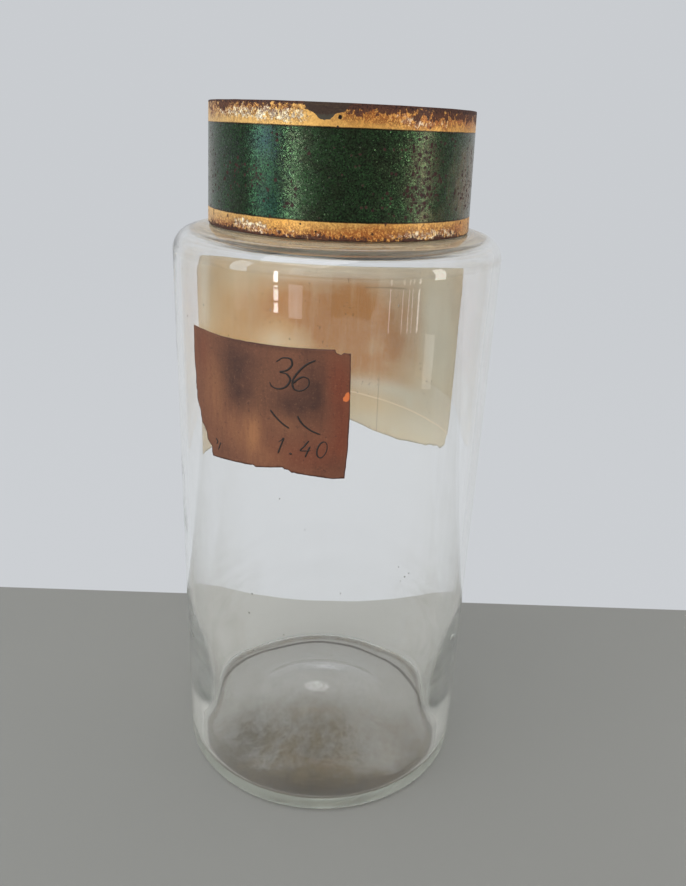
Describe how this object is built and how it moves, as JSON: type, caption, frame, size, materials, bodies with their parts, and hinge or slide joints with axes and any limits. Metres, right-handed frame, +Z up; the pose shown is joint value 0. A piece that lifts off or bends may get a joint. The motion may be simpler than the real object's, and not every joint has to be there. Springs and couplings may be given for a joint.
{
  "type": "apothecary jar",
  "caption": "Tall clear glass storage jar with rounded shoulder and wide neck, closed by a lift-off painted tinplate lid, with a torn paper label on the front and a wide paper label round the back.",
  "frame": {"origin": "centre of the foot ring, on the surface that the jar stands on", "axes": "+Z up along the jar's axis, -Y towards the front, where the small torn label is, +X to the right seen from the front"},
  "size_m": [0.137, 0.1378, 0.3001],
  "materials": {
    "clear_glass": "gloss",
    "lacquered_tin": "satin",
    "solder": "satin",
    "brown_paper": "matte",
    "tan_paper": "matte"
  },
  "bodies": {
    "jar": {"glass_jar": "clear_glass", "front_label": "brown_paper", "rear_label": "tan_paper"},
    "lid": {"lid_band": "lacquered_tin", "lid_top": "lacquered_tin", "lid_rim_solder": "solder", "lid_seam_solder": "solder"}
  },
  "joints": [
    {"name": "lid_lift", "type": "slide", "parent": "jar", "child": "lid", "axis": [0, 0, 1], "range_m": [0, 0.08]}
  ]
}
